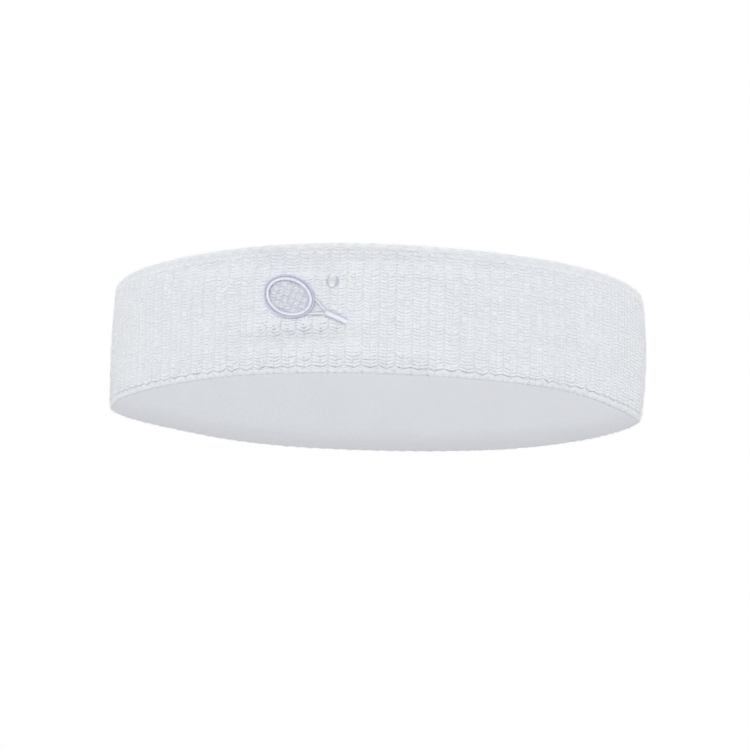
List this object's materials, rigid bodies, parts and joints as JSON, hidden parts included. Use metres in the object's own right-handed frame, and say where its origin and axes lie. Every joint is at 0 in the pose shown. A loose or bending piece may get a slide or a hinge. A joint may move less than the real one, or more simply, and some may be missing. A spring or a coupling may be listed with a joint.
{
  "type": "sports headband",
  "caption": "Round knitted sports headband with turned-in edges, a smooth lining, laid-in elastic yarns and a small embroidered racket motif at the front.",
  "frame": {"origin": "centre of the circle on which the band's lower edge stands", "axes": "+Z is the band's axis, up as it is worn, from the lower edge to the upper; -Y is the front, where the motif is centred; +X is the wearer's left"},
  "size_m": [0.18, 0.1811, 0.041],
  "materials": {
    "knit": "chunky knit of soft brushed yarn, cool white",
    "lining": "smooth brushed jersey, pale grey",
    "linking_thread": "plied sewing thread, white",
    "elastic": "rubber core wrapped in fine polyester yarn, off-white",
    "motif_white": "satin-stitched rayon thread, white",
    "motif_lilac": "satin-stitched rayon thread, pale lilac",
    "backing": "thin nonwoven stabiliser, white"
  },
  "bodies": {
    "root": {"outer_knit": "knit", "inner_lining": "lining", "lower_linking_thread": "linking_thread", "upper_linking_thread": "linking_thread", "elastic_yarn_01": "elastic", "elastic_yarn_02": "elastic", "elastic_yarn_03": "elastic", "elastic_yarn_04": "elastic", "elastic_yarn_05": "elastic", "elastic_yarn_06": "elastic", "elastic_yarn_07": "elastic", "elastic_yarn_08": "elastic", "elastic_yarn_09": "elastic", "elastic_yarn_10": "elastic", "elastic_yarn_11": "elastic", "elastic_yarn_12": "elastic", "motif_rim": "motif_white", "motif_outline": "motif_lilac", "motif_strings": "motif_lilac", "motif_throat": "motif_white", "motif_handle": "motif_white", "motif_ball": "motif_white", "motif_backing": "backing"}
  },
  "joints": []
}
